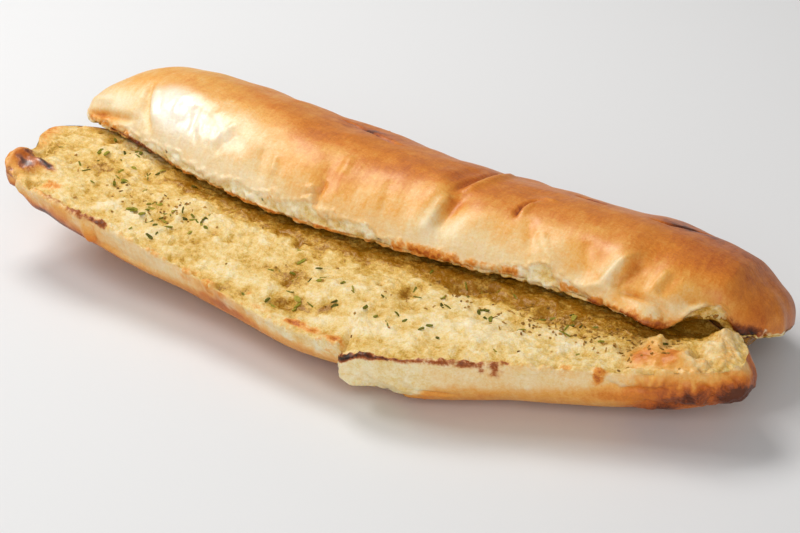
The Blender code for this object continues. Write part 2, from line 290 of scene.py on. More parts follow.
def bottom_ring(x):
    """One ring round the bottom half: (y, z, distance in from the front rim).

    The distance is over the cut face, and negative down the side.
    """
    front, back = bottom_rims(x)
    middle = (front + back) / 2
    half = (back - front) / 2 * end_closing(x, BOTTOM_ENDS, BOTTOM_END_WIDTH)
    closing = end_closing(x, BOTTOM_ENDS, BOTTOM_END_DEPTH)
    depth = (along(BOTTOM_DEPTH, x) + FLAP_UP * flap(x)) * closing
    power = 2 / (along(SIDE_SQUARENESS, x) + FLAP_SQUARE * flap(x))
    angle = np.linspace(0, math.pi, OUTLINE_STEPS)
    c, s = np.cos(angle), np.clip(np.sin(angle), 0, 1)
    y = middle - half * np.sign(c) * np.abs(c) ** power
    t = (y - middle) / half / 2 + 0.5
    front_z = cut_height(x, middle - half)
    back_z = cut_height(x, middle + half)
    sink = s**power
    sink[1:-1] += (1 - sink[1:-1]) * END_WALL * (1 - closing)
    level = cut_height(np.full_like(y, x), y)
    z = level + sink * (front_z + (back_z - front_z) * t - depth - level)
    crust = np.stack([y, np.maximum(z, 0)], axis=1)
    crust = respaced(crust, CRUST_POINTS, 0.6 + 1.4 * (1 - ease(angle, 0.9, 1.6)))
    face = np.stack([y, level + sink * closing * 0.5 * ripple(x, y, 23)], axis=1)
    face = respaced(face, FACE_POINTS, 1 - 0.55 * ease(t, 0.72, 0.85))
    rim = np.concatenate([-runs(crust), runs(face)[-2:0:-1]])
    return np.column_stack([np.concatenate([crust, face[-2:0:-1]]), rim])


def ring_positions(ends, section, widths, depths, count):
    """Ring positions along the roll, so that rings lie equally far apart over the ends too."""
    width, depth = section
    reach = (ends[1] - ends[0]) / 2
    inset = np.concatenate([np.geomspace(2e-4, 30, 600), np.linspace(30.2, reach, 300)])
    half_lines = []
    for side, end in enumerate(ends):
        x = end + inset * (1, -1)[side]
        line = np.stack([inset + width * end_closing(x, ends, widths),
                         depth * end_closing(x, ends, depths)], axis=1)
        run = runs(line)
        half_lines.append(np.interp(np.linspace(0, run[-1], count // 2), run, x))
    return np.concatenate([half_lines[0][:-1], half_lines[1][::-1]])


def rings_of(ring, positions):
    """Every ring of a half as arrays: its points (x, y, z), and its other columns."""
    rows = np.array([ring(x) for x in positions])
    x = np.broadcast_to(positions[:, None], rows.shape[:2])
    return np.dstack([x, rows[:, :, :2]]), rows[:, :, 2:]


def ragged_ends(points, ends, ragged):
    """How far each point shifts along the roll to make its ends ragged."""
    x, y, z = np.moveaxis(points, 2, 0)
    at_end = 1 - ease(x, ends[0], ends[0] + END_ZONE) + ease(x, ends[1] - END_ZONE, ends[1])
    return at_end * ragged * ripple(y, 0.5 * z, TEAR_LENGTH)


def bottom_draw_in(points):
    """How far the notch and the bow shift each point of the bottom half along the roll."""
    x, y, z = np.moveaxis(points, 2, 0)
    at_left = 1 - ease(x, BOTTOM_ENDS[0], BOTTOM_ENDS[0] + END_ZONE)
    at_right = ease(x, BOTTOM_ENDS[1] - BOW_ZONE, BOTTOM_ENDS[1])
    notch = NOTCH_DEPTH * np.exp(-(((y - NOTCH_Y) / NOTCH_WIDTH) ** 2))
    bow = BOW_DEPTH * (1 - np.exp(-(((z - BOW_Z) / BOW_SIZE) ** 2)))
    return at_left * notch - at_right * bow


def outward(points):
    """The direction out of the surface at each point of the rings."""
    ahead = np.gradient(points, axis=0)
    around = np.roll(points, -1, axis=1) - np.roll(points, 1, axis=1)
    normal = np.cross(around, ahead)
    return normal / np.maximum(np.linalg.norm(normal, axis=2, keepdims=True), 1e-9)


def fractal(points, size, detail=3):
    """Cloudy unevenness of this size, about -1 to 1. The size may differ by axis."""
    at = (points / np.asarray(size, float)).reshape(-1, 3).tolist()
    return np.array([noise.fractal(p, 1.0, 2.0, detail) for p in at]).reshape(points.shape[:2])


def cells(points, size):
    """For round cells of this size: the distance to the nearest middle, and its own number."""
    at = (points / np.asarray(size, float)).reshape(-1, 3).tolist()
    found = [noise.voronoi(p) for p in at]
    near = np.array([f[0][0] for f in found]).reshape(points.shape[:2])
    number = np.array([noise.cell(f[1][0]) for f in found]).reshape(points.shape[:2])
    return near, number


def closed_mesh(name, points, marks):
    """A closed mesh through rings of points, made from a grid sheet that wraps round.

    marks are the named values that each point carries for its finish.
    """
    rings, size = points.shape[:2]
    wrapped = np.concatenate([points, points[:, :1]], axis=1)
    wrapped = (wrapped - (*BOX_MIDDLE, 0)) * MM
    bpy.ops.object.select_all(action="DESELECT")
    bpy.ops.mesh.primitive_grid_add(x_subdivisions=size, y_subdivisions=rings - 1, size=1)
    piece = bpy.context.object
    piece.name = name
    piece.data.name = name
    piece.data.vertices.foreach_set("co", wrapped.astype(np.float32).ravel())
    for mark, values in marks.items():
        values = np.concatenate([values, values[:, :1]], axis=1)
        layer = piece.data.attributes.new(mark, "FLOAT", "POINT")
        layer.data.foreach_set("value", values.astype(np.float32).ravel())
    bpy.ops.object.mode_set(mode="EDIT")
    bpy.ops.mesh.select_all(action="SELECT")
    bpy.ops.mesh.remove_doubles(threshold=1e-7)
    bpy.ops.mesh.select_all(action="DESELECT")
    bpy.ops.mesh.select_non_manifold(use_wire=False, use_boundary=True, use_multi_face=False,
                                     use_non_contiguous=False, use_verts=False)
    bpy.ops.mesh.fill_holes(sides=0)
    bpy.ops.mesh.select_all(action="SELECT")
    bpy.ops.mesh.normals_make_consistent(inside=False)
    bpy.ops.object.mode_set(mode="OBJECT")
    bpy.ops.object.shade_smooth()
    piece.data.uv_layers.remove(piece.data.uv_layers[0])
    return piece


class Wire:
    """A number socket of a material, for shader maths written as plain expressions."""

    def __init__(self, finish, socket):
        self.finish = finish
        self.socket = socket

    def math(self, operation, *values):
        return self.finish.add("ShaderNodeMath", {"operation": operation}, values)

    def __add__(self, other):
        return self.math("ADD", self, other)

    def __sub__(self, other):
        return self.math("SUBTRACT", self, other)

    def __rsub__(self, other):
        return self.math("SUBTRACT", other, self)

    def __mul__(self, other):
        return self.math("MULTIPLY", self, other)

    __radd__ = __add__
    __rmul__ = __mul__

    def ease(self, start, end):
        settings = {"interpolation_type": "SMOOTHSTEP"}
        return self.finish.add("ShaderNodeMapRange", settings, (self, start, end))


class Finish:
    """A node material: add() makes any node, and the other calls are its short forms."""

    def __init__(self, name):
        self.material = bpy.data.materials.new(name)
        self.material.use_nodes = True
        self.tree = self.material.node_tree
        self.shader = self.tree.nodes["Principled BSDF"]
        self.place = self.add("ShaderNodeTexCoord", out="Object")

    def add(self, kind, settings=None, values=(), out=0):
        """A node with its settings, then its sockets by order or by name."""
        node = self.tree.nodes.new(kind)
        for name, value in (settings or {}).items():
            if name == "stops":
                self.set_stops(node.color_ramp, value)
            else:
                setattr(node, name, value)
        pairs = values.items() if isinstance(values, dict) else enumerate(values)
        for key, value in pairs:
            self.feed(node.inputs[key], value)
        return Wire(self, node.outputs[out])

    def feed(self, socket, value):
        if isinstance(value, Wire):
            self.tree.links.new(value.socket, socket)
        else:
            socket.default_value = value

    def set_stops(self, ramp, stops):
        while len(ramp.elements) < len(stops):
            ramp.elements.new(1)
        for element, (position, color) in zip(ramp.elements, stops):
            element.position = position
            element.color = color

    def set(self, **values):
        for name, value in values.items():
            self.feed(self.shader.inputs[name.replace("_", " ").title().replace("Ior", "IOR")], value)

    def mark(self, name):
        return self.add("ShaderNodeAttribute", {"attribute_name": name}, out="Fac")

    def clouds(self, size, detail=2, roughness=0.55, place=None):
        """Noise with features of this size in millimetres, 0 to 1."""
        values = {"Vector": place or self.place, "Scale": 1 / (size * MM), "Detail": detail,
                  "Roughness": roughness}
        return self.add("ShaderNodeTexNoise", values=values)

    def stretched(self, x, y, z):
        """The place, with each axis squeezed by its own factor."""
        values = {0: self.place, 1: (x, y, z)}
        return self.add("ShaderNodeVectorMath", {"operation": "MULTIPLY"}, values)

    def ramp(self, value, *stops):
        return self.add("ShaderNodeValToRGB", {"stops": stops}, (value,))

    def mix(self, share, first, second):
        """first where share is 0, second where it is 1."""
        values = {0: share, 6: first, 7: second}
        return self.add("ShaderNodeMix", {"data_type": "RGBA"}, values, out=2)

    def bump(self, height, depth, over=None):
        """A surface direction from a height of 0 to 1 that stands for depth millimetres."""
        values = {"Height": height, "Distance": depth * MM, "Strength": 1.0}
        if over:
            values["Normal"] = over
        return self.add("ShaderNodeBump", values=values, out="Normal")


# Tones of the crust by how baked it is, of the torn crumb by how much butter it holds, its
# darker end also serving as painted shade, and of what is toasted or burnt, by how far
CRUST_TONES = (
    (0.0, linear(243, 225, 188)), (0.2, linear(238, 205, 149)), (0.42, linear(234, 171, 84)),
    (0.62, linear(218, 131, 43)), (0.8, linear(190, 100, 32)), (0.92, linear(148, 70, 22)),
    (1.0, linear(88, 36, 8)),
)
CRUMB_TONES = (
    (0.0, linear(246, 236, 208)), (0.25, linear(240, 222, 178)), (0.5, linear(232, 202, 134)),
    (0.75, linear(214, 170, 76)), (1.0, linear(158, 106, 20)),
)
TOASTED_TONES = (
    (0.2, linear(242, 186, 104)), (0.6, linear(224, 146, 58)), (1.0, linear(186, 96, 32)),
)
BURNT_TONES = (
    (0.1, linear(206, 118, 50)), (0.35, linear(164, 84, 30)), (0.6, linear(106, 46, 14)),
    (0.95, linear(32, 15, 6)),
)
# A near-white tone that the shiniest crust is mixed towards as a painted highlight, and the most of
# that mix
PAINTED_HIGHLIGHT_TONE = linear(255, 247, 232)
MOST_PAINTED_HIGHLIGHT = 0.85
# Depth in millimetres of the relief too fine for the mesh, of the crumb and of the crust
CRUMB_RELIEF = 0.68
SKIN_RELIEF = 0.28


def bread_finish(name):
    """Crust and torn crumb in one finish, by what each point of the surface carries.

    crumb: 0 crust to 1 torn crumb; bake: how far the crust has browned; soak: how much
    butter the crumb holds, with painted shade added in places; toast: orange toasting;
    burn: burnt brown to black; glaze: coat gloss, and a painted highlight that whitens the
    crust where it is high.
    """
    m = Finish(name)
    crumb, glaze = m.mark("crumb"), m.mark("glaze")
    dust = m.clouds(0.55, 2)
    speck = m.clouds(1.1, 2)
    fleck = m.clouds(2.4, 2)
    mottle = m.clouds(6.0, 3)
    streak = m.clouds(3.4, 3, place=m.stretched(0.35, 1.0, 1.0))
    brushed = m.clouds(1.6, 2, place=m.stretched(1.0, 0.22, 0.22))

    bake = m.mark("bake") + (mottle - 0.5) * 0.24 + (streak - 0.5) * 0.14
    bake = bake + (brushed - 0.5) * 0.22 + (speck - 0.5) * 0.2 + (dust - 0.5) * 0.12
    crust = m.ramp(bake, *CRUST_TONES)
    # Painted highlight: the crust is mixed towards white where the gloss mark is high
    crust = m.mix(glaze.ease(0.3, 1.0) * MOST_PAINTED_HIGHLIGHT, crust, PAINTED_HIGHLIGHT_TONE)
    soak = m.mark("soak") + (mottle - 0.5) * 0.65 + (fleck - 0.5) * 0.4
    soak = soak + (speck - 0.5) * 0.45 + (dust - 0.5) * 0.35
    color = m.mix(crumb, crust, m.ramp(soak, *CRUMB_TONES))
    toast = m.mark("toast") * (0.3 + fleck * 0.9 + (speck - 0.5) * 1.1)
    color = m.mix(toast.ease(0.08, 0.6), color, m.ramp(toast, *TOASTED_TONES))
    burn = m.mark("burn") * (0.4 + fleck * 0.7 + (speck - 0.5) * 1.1)
    color = m.mix(burn.ease(0.06, 0.4), color, m.ramp(burn, *BURNT_TONES))

    relief = dust * 0.1 + speck * 0.4 + fleck * 0.5
    fine = m.bump(relief * crumb, CRUMB_RELIEF)
    wrinkle = m.clouds(1.6, 3, place=m.stretched(0.7, 1.2, 1.2)) * 0.6 + m.clouds(0.6, 2) * 0.2
    wrinkle = (wrinkle + brushed * 0.5 + speck * 0.4) * (1 - crumb)
    skin = m.bump(wrinkle, SKIN_RELIEF, over=fine)
    rough = m.mix(crumb, m.clouds(3.0, 2) * 0.2 + 0.34, 0.64 - soak * 0.34)
    m.set(base_color=color, roughness=rough, normal=skin,
          coat_weight=(1 - crumb) * glaze * (0.35 + m.clouds(5.0, 3) * 1.1))
    m.shader.inputs["Coat Roughness"].default_value = 0.32
    m.shader.inputs["Coat IOR"].default_value = 2.0
    m.shader.inputs["Specular IOR Level"].default_value = 0.3
    m.shader.inputs["Specular Tint"].default_value = (1.0, 0.88, 0.7, 1)
    m.shader.inputs["Subsurface Weight"].default_value = 0.2
    m.shader.inputs["Subsurface Radius"].default_value = (1.0, 0.5, 0.2)
    m.shader.inputs["Subsurface Scale"].default_value = 1.5 * MM
    return m.material


# How far down the side stays pale, and how torn that pale side is, at the stations
PALE_SIDE = (1.5, 4.5, 9.5, 5, 4, 7, 9, 5.5, 3)
TORN_SIDE = (0.5, 0.05, 0.05, 0.2, 0.7, 0.9, 0.35, 0.3, 0.1)
# The side is whole crust again past here, and it is pale and torn all down the flap: x
# from, x to, and how far down
WHOLE_SIDE_X = (108, 118)
TORN_FLAP = (24.5, 49, 18)
# The line under which the top half covers the cut face
TOP_FRONT_Y = (7, 4, -5, -11, -12, -11, -9, -12, -2)

# Places (x, y, radius x, radius y, amount) of the cut face: those soaked with butter, and the one at
# x 80 along the top half's rim is painted shade
SOAKED_AND_SHADED = (
    (110.5, -26, 3, 5, 0.5), (119, -23, 2.4, 4, 0.75), (127, -18.5, 3, 2, 0.3),
    (133, -19.5, 3, 1.5, 0.3), (-12, -40, 5, 3, 0.18), (33, -34, 6, 3, 0.16),
    (-102, -14, 9, 6, 0.32), (-8, -18, 32, 8, 0.20), (-4, -46.5, 5.5, 2.6, 0.85),
    (9, -46, 6, 2.6, 0.4), (28, -28, 3.0, 6, 0.3),
    (44, -16, 14, 4, 0.4), (-70, -26, 14, 6, 0.10), (-95, -24, 12, 7, 0.08),
    (80, -17, 24, 5, 0.42), (-25, -36, 10, 4, 0.14), (60, -14, 25, 5, 0.2),
    (120, 0, 12, 5, 0.45), (-8, -36, 9, 5, 0.4), (-128, -14, 5, 8, 0.12),
    (-60, -44, 10, 4, 0.1), (20, -42, 8, 3, 0.12), (-28, -49, 14, 4, 0.36),
)
MOST_SOAKED = 0.97
# Smooth ones, where butter and skin have closed the crumb
SMOOTH = (
    (-130, -31, 6, 7, 0.9), (111, -26, 4.5, 8, 1.0), (119.5, -24, 4.5, 7, 1.0),
    (115, -26, 8, 6, 0.4),
    (-126, -27, 7, 3.5, 0.7), (-122.5, -26.5, 5, 3, 0.8),
    (128, -27, 8, 4, 0.8), (133, -14, 6, 7, 0.45), (-134, -10, 3, 12, 0.6),
)
# Those whose skin has browned
BROWNED_FACE = (
    (-130, -31, 6, 7, 0.14), (110.5, -26, 4, 6, 0.34), (119, -23, 3.4, 5.5, 0.44),
    (114.5, -29, 9, 4, 0.18),
    (128, -27, 8, 3, 0.12), (140, -17, 4, 8, 0.34), (-136, -10, 3, 12, 0.3),
    (-134, -34, 4, 6, 0.25), (-126, -27, 8, 3.0, 0.66),
)
# Those with little butter
PALE = (
    (-84, -33, 7, 3, 0.26), (-66, -38, 10, 3.5, 0.2), (-30, -44, 12, 4, 0.18),
    (55, -38, 24, 8, 0.14), (28, -49, 12, 4, 0.22), (131, -10, 6, 6, 0.24),
    (85, -33, 14, 5, 0.08), (-112, -34, 5, 5, 0.22),
    (-104, -4, 14, 6, 0.08), (10, -51, 8, 3, 0.2), (-131, -33, 4, 4, 0.3),
)
# Toasted and burnt ones
TOASTED = (
    (-34, -50, 3, 1.8, 0.9), (-25.5, -54, 2.6, 1.6, 1.0), (-19, -49, 2, 1.5, 0.6),
    (3, -54.8, 3.8, 1.6, 1.5), (10, -56.3, 3.4, 1.4, 1.2), (19, -57.5, 3.5, 1.5, 1.1),
    (-44, -47.5, 6, 1.5, 0.6), (-12, -53, 5, 1.6, 0.5), (102.4, -38.8, 2.2, 2.0, 1.4),
    (92, -41, 3, 2, 0.6), (-112, -33, 4, 2.4, 0.9), (-136, -4, 3, 12, 0.7),
    (-126, -35, 4, 2.5, 0.4), (-128, 10, 6, 4, 0.6), (117, -32, 11, 3, 0.3),
    (133, -24, 7, 5, 0.28), (82, -47, 5, 2, 0.3), (-135.5, -30, 2, 6, 0.9),
    (137.5, -14, 3, 6, 0.5), (129, -22.5, 4, 2.2, 0.3), (134, -6, 4, 3, 0.35),
)
BURNT = (
    (-131.5, -24, 1.4, 2.2, 0.8), (-127, -29.2, 4.5, 1.0, 0.8), (-125, -24.6, 5.5, 1.1, 0.8),
    (-119, -26.5, 3.4, 1.4, 1.0), (-126, -27, 7, 2.4, 0.26), (-127, -31, 3, 1.0, 0.5),
    (103, -39, 2.0, 1.6, 0.25), (72, -49.2, 2.8, 1.0, 0.55), (-130, -34, 2.0, 1.2, 0.55),
)
# Burnt stretches (x from, x to, distance in from the rim, width, amount) along the rim
BURNT_RIM = (
    (-112, -98, 0.4, 0.8, 0.35), (-100, -88, 0.2, 0.9, 0.5), (-90, -80, 0.5, 1.2, 0.75),
    (23.0, 33, 0.4, 1.2, 1.5), (27, 43, 0.4, 1.2, 1.0), (40, 53, 0.3, 1.1, 0.62),
    (51, 62, 0.2, 1.1, 0.5), (60, 70, -0.3, 1.4, 0.6), (66.5, 70, -2.4, 1.8, 0.6),
    (70, 77, 1.2, 1.1, 0.5), (-137, -126, -0.8, 1.2, 0.45),
)
# Browned places (x, distance in from the rim, radius x, radius, amount) of the side
BROWNED_SIDE = (
    (128.5, -10.5, 6, 4, 0.2), (127, -16, 8, 4, 0.16), (139, -10, 5, 8, 0.18),
    (-134.5, -5, 3, 4, 0.4), (-136, -14, 3, 5, 0.2), (-70, -16, 22, 5, 0.12),
    (-105, -8, 24, 7, 0.46), (104, -9, 4, 3, 0.12), (-30, -14, 24, 5, 0.14),
    (-28, -4, 15, 6, 0.46), (112, -8, 12, 6, 0.10), (118, -3.5, 9, 3.2, 0.3),
    (128, -17, 6, 3.5, 0.06),
)
# The same for its brown streaks, and how fast they follow each other, in radians for
# each millimetre
STREAKED_SIDE = ((117, -3.5, 8, 2.8, 0.34), (127, -6.0, 6, 3.5, 0.34))
STREAK_RATE = 1.9
# How baked the back of the side is at least
BACK_BAKE = 0.5
# Toasted stretches along the rim, given as the burnt ones are
RIM_TOASTED = ((-136, 22, 0.2, 1.0, 0.5), (76, 138, 0, 1.2, 0.4))
# The side where its crust stands proud below the pale band: a step and a ledge from it
LEDGE_START_X = (-118, -104)
LEDGE_STEP_X = -90.5
LEDGE_END_X = (-75, -50)
LEDGE_FOOT = (-26, -20)
LEDGE_HEIGHT = 1.1
# The rough end of the side, along the roll and down from the rim
ROUGH_END_X = (100, 118)
ROUGH_END_DOWN = (-24, -14)
# The underside of the torn flap is hollow: x, radius x, and depth
FLAP_HOLLOW = (30, 10, 5.0)
# Its tip sags over a stretch that starts and ends so, its foot slants out to the right,
# and its lower edge is ragged
FLAP_SAG = 3.4
FLAP_SAG_START = (FLAP_X - 3, FLAP_X - 1.4)
FLAP_SAG_END = (FLAP_X, FLAP_X + 9)
FLAP_SLANT = 5.0
FLAP_SLANT_START = (FLAP_X - 4, FLAP_X - 1)
FLAP_SLANT_END = (FLAP_X + 2, FLAP_X + 18)
FLAP_RAGGED = 1.6
# All that is done to the front side alone stays in front of this line
FRONT_SIDE_Y = -20

# Folds and curled edges (width, height, its line of x, y) of the cut face
FOLDS = (
    (1.5, 1.8, ((-136, -20), (-133.5, -26), (-126, -28.5), (-117, -27.5))),
    (1.3, -1.2, ((-131, -31), (-125, -32), (-119, -30.5))),
    (1.2, -1.2, ((-129, -23.5), (-124, -24), (-118, -24.5))),
    (1.1, 1.3, ((-133, -31), (-131, -36), (-128, -40))),
    (1.0, -1.2, ((-127, -33), (-125, -38), (-124, -42))),
    (1.1, 0.9, ((-124, -31), (-121, -36), (-120, -42))),
    (1.0, 2.6, ((112.4, -15), (113.6, -20), (115.0, -25), (117.0, -30))),
    (2.6, -1.9, ((109.2, -31), (110.2, -26), (110.4, -20))),
    (2.4, -2.4, ((119.2, -27), (118.8, -22), (117.6, -17.5))),
    (1.0, 1.8, ((107.5, -34), (112, -34), (118.5, -31.4), (125, -30.5))),
    (1.2, 1.8, ((122.8, -27), (123.2, -21), (121, -15))),
    (1.6, -1.6, ((103.6, -28), (105, -22), (107.5, -15))),
    (1.5, -2.2, ((124.6, -22), (128, -18.2), (132, -20))),
    (1.5, 1.5, ((125.5, -13.5), (130.5, -14.8), (136, -12))),
    (1.5, -1.4, ((126, -8), (130, -11), (136, -8.5))),
    (1.8, -1.5, ((44, -18), (49, -12), (55, -12))),
    (1.5, -0.9, ((28, -32), (29, -27), (28, -23))),
)
# The same down the side (width, height, its line of x, distance down from the rim)
SIDE_FOLDS = (
    (1.2, -1.3, ((-133, 1), (-132, 6), (-131.5, 12))),
    (1.0, 0.9, ((-130.5, 0), (-129.5, 5), (-129, 10))),
    (1.1, -1.1, ((-127.5, 1), (-126.5, 5), (-126, 9))),
    (1.0, 0.8, ((-124, 0), (-123, 5))),
    (1.3, 1.0, ((-89.8, 1), (-90.6, 6), (-90.2, 11))),
    (1.0, -0.8, ((-88, 2), (-88.4, 6), (-88, 10))),
    (1.6, -1.2, ((102, 2), (108, 6), (116, 7), (124, 5))),
    (1.6, 1.0, ((108, 2), (115, 3), (123, 2))),
    (1.8, 1.2, ((126, 3), (130, 8), (131, 14))),
    (1.6, -1.2, ((131, 3), (134, 8), (135, 13))),
    (1.8, -0.9, ((112, 12), (121, 15), (128, 17))),
    (1.0, -1.0, ((46, 12), (52, 13.5), (60, 14))),
    (1.1, 1.0, ((25.5, 2), (26.5, 8), (30, 14), (36, 17))),
    (1.2, -0.8, ((33, 4), (34, 10), (38, 14))),
    (1.0, 0.8, ((42, 9), (44, 13), (46.5, 16))),
)


def rim_marks(x, rim, table, ragged):
    """Marks along the front rim, their edges ragged."""
    total = np.zeros(x.shape)
    for start, stop, at, width, amount in table:
        length = ease(x, start, start + 2) * (1 - ease(x, stop - 2, stop))
        total = np.maximum(total, amount * length * np.exp(-(((rim - at - ragged) / width) ** 2)))
    return total


def along_folds(points, folds, place):
    """Relief of folds and creases, each fading out at both of its ends.

    place() turns the two numbers that a line is drawn in into a point.
    """
    total = np.zeros(points.shape[:2])
    for width, height, drawn in folds:
        line = [place(*at) for at in drawn]
        reach = [end[0] for end in line]
        near = (points[:, 0, 0] > min(reach) - 4 * width) & (points[:, 0, 0] < max(reach) + 4 * width)
        close = points[near]
        far = np.full(close.shape[:2], 1e9)
        share = np.zeros(close.shape[:2])
        for i, (first, last) in enumerate(zip(line, line[1:])):
            way = last - first
            t = np.clip((close - first) @ way / (way @ way), 0, 1)
            gap = np.linalg.norm(close - first - t[:, :, None] * way, axis=2)
            share = np.where(gap < far, (i + t) / (len(line) - 1), share)
            far = np.minimum(far, gap)
        taper = np.clip(1.8 * np.sin(math.pi * np.clip(share, 0.02, 0.98)), 0, 1)
        total[near] += height * taper * np.exp(-((far / width) ** 2))
    return total


def face_point(at_x, at_y):
    """The place on the cut face at a distance along the roll and one across it."""
    return np.array([at_x, at_y, float(cut_height(at_x, at_y))])


def side_point(at_x, down):
    """The place on the side at a distance along the roll and one down from the rim."""
    ring = bottom_ring(at_x)[:CRUST_POINTS]
    return np.array([at_x, np.interp(down, -ring[:, 2], ring[:, 0]),
                     np.interp(down, -ring[:, 2], ring[:, 1])])


positions = ring_positions(BOTTOM_ENDS, BOTTOM_SECTION, BOTTOM_END_WIDTH, BOTTOM_END_DEPTH,
                           RINGS)
points, columns = rings_of(bottom_ring, positions)
x, y, z = points[:, :, 0], points[:, :, 1], points[:, :, 2]
rim = columns[:, :, 0]

clumps = fractal(points, 6.5, 4)
patches = fractal(points, (22, 14, 14), 3)
tear = fractal(points, 2.4, 3)
grain, _ = cells(points, 2.0)
pore_near, pore_number = cells(points, 5.5)
pores = np.where(pore_number > 0.1, np.clip(1 - pore_near / 0.36, 0, 1), 0)

over_face = ease(rim, -0.6, 0.6)
on_front = (1 - over_face) * (y < FRONT_SIDE_Y)
flap_from, flap_to, flap_down = TORN_FLAP
flap_torn = ease(x, flap_from - 1, flap_from) * (1 - ease(x, flap_to - 6, flap_to + 8))
pale_depth = along(PALE_SIDE, x)
pale_depth = pale_depth + (flap_down - pale_depth) * flap_torn + 1.0 * tear + 0.8 * clumps
pale_side = ease(rim, -pale_depth - 1.2, -pale_depth + 1.2) * (1 - over_face)
torn_side = np.clip(along(TORN_SIDE, x) + 0.5 * flap_torn + 0.5 * clumps * (1 - flap_torn), 0, 1)
torn_side = torn_side * (1 - ease(x, *WHOLE_SIDE_X))
crumb = np.clip(over_face + torn_side * pale_side, 0, 1) * (1 - np.clip(blots(x, y, SMOOTH), 0, 1))
hidden = along(TOP_FRONT_Y, x)
covered = ease(y, hidden + 6, hidden + 11) * (1 - ease(x, 128, 134))
closing = end_closing(x, BOTTOM_ENDS, BOTTOM_END_DEPTH)
at_rim = np.exp(-((rim / 2.0) ** 2))
end_rough = ease(x, *ROUGH_END_X) * ease(rim, *ROUGH_END_DOWN)

crumb_height = (0.70 * clumps + 0.42 * tear + 0.60 * (0.5 - grain) - 1.0 * pores
                + blots(x, y, FINE_SWELLINGS) + along_folds(points, FOLDS, face_point))
crust_height = 0.22 * fractal(points, (14, 8, 8), 2) + end_rough * (0.9 * clumps + 0.4 * tear)
side_folds = along_folds(points, SIDE_FOLDS, side_point) * (1 - over_face)
beyond = ease(x, LEDGE_STEP_X - 1, LEDGE_STEP_X + 1)
fading = 1 - ease(x, *LEDGE_END_X)
below = 1 - ease(rim, -pale_depth - 0.5, -pale_depth + 0.5)
ledge = LEDGE_HEIGHT * fading * (1 - beyond + beyond * below) * (1 - over_face)
ledge = ledge * ease(rim, *LEDGE_FOOT) * ease(x, *LEDGE_START_X)
edge_curl = at_rim * (0.35 + 0.6 * tear + 0.7 * clumps)
height = (crumb * crumb_height * (1 - 0.8 * covered) + (1 - crumb) * crust_height + edge_curl
          + ledge + side_folds)
on_floor = (z < 0.6) & (rim < -5)
height = np.where(on_floor, 0, height * np.clip(closing * 1.5, 0, 1))
shaped = points + outward(points) * height[:, :, None]
hollow_x, hollow_radius, hollow_depth = FLAP_HOLLOW
hollow = hollow_depth * np.exp(-(((x - hollow_x) / hollow_radius) ** 2))
shaped[:, :, 1] += hollow * (1 - ease(z, 3, 15)) * on_front
shaped[:, :, 1] += FLAP_RAGGED * tear * flap_torn * (1 - ease(z, 3, 14)) * on_front
slant = FLAP_SLANT * ease(x, *FLAP_SLANT_START) * (1 - ease(x, *FLAP_SLANT_END))
shaped[:, :, 0] += slant * (1 - ease(z, 3, 16)) * on_front
sag = FLAP_SAG * ease(x, *FLAP_SAG_START) * (1 - ease(x, *FLAP_SAG_END))
shaped[:, :, 2] -= sag * ease(z, 2, 12) * (1 - ease(rim, 0, 12)) * (y < FRONT_SIDE_Y)
shaped[:, :, 0] += ragged_ends(points, BOTTOM_ENDS, BOTTOM_RAGGED) + bottom_draw_in(points)
shaped[:, :, 2] = np.maximum(shaped[:, :, 2], 0)

warp_x = x + 1.3 * tear
warp_y = y + 0.8 * clumps + 0.5 * tear
# In front of the top half's rim the crumb is darker: more butter, and painted shade cast by the top
# half
butter_and_shade_under_top = ease(y, hidden - 9, hidden + 1) * (1 - ease(x, 124, 134)) * ease(x, -100, -70)
soak = (0.52 - 0.14 * patches - 0.18 * clumps - 0.12 * tear + 0.2 * (grain - 0.5) + 0.25 * pores
        + 0.55 * butter_and_shade_under_top * (1 + 1.0 * tear + 0.6 * clumps) + 0.10 * ease(-x, 80, 120)
        + blots(warp_x, warp_y, SOAKED_AND_SHADED) - blots(warp_x, warp_y, PALE))
soak = np.minimum(soak, MOST_SOAKED) * over_face + (1 - over_face) * (0.34 - 0.15 * clumps)
bake = 0.22 + 0.22 * ease(-rim, pale_depth - 2, pale_depth + 4) + 0.14 * ease(z, 12, 0)
bake = bake + 0.08 * patches + 0.22 * ease(x, 104, 130) * ease(-rim, 1, 9)
bake = bake + 0.14 * ease(-x, 60, 90) * ease(-rim, pale_depth, pale_depth + 3)
bake = bake + blots(x, rim, BROWNED_SIDE) * (1 - over_face) + blots(x, y, BROWNED_FACE)
streaks = np.sin(x * STREAK_RATE + 0.5 * y + 5 * clumps) * (0.5 + tear)
bake = bake + streaks * blots(x, rim, STREAKED_SIDE) * 0.4
middle = (along(BOTTOM_FRONT_Y, x) + along(BOTTOM_BACK_Y, x)) / 2
bake = np.where(y > middle, np.maximum(bake, BACK_BAKE + 0.1 * patches), bake)
near_rim = ease(rim, -8, -2)
ragged = 0.6 * tear
toasted_rim = rim_marks(x, rim, RIM_TOASTED, ragged) * ease(clumps + tear, -0.3, 0.4)
toast = np.maximum(near_rim * blots(warp_x, warp_y, TOASTED), toasted_rim)
burnt_rim = rim_marks(x, rim, BURNT_RIM, ragged)
burn = np.maximum(near_rim * blots(warp_x, warp_y, BURNT), burnt_rim)
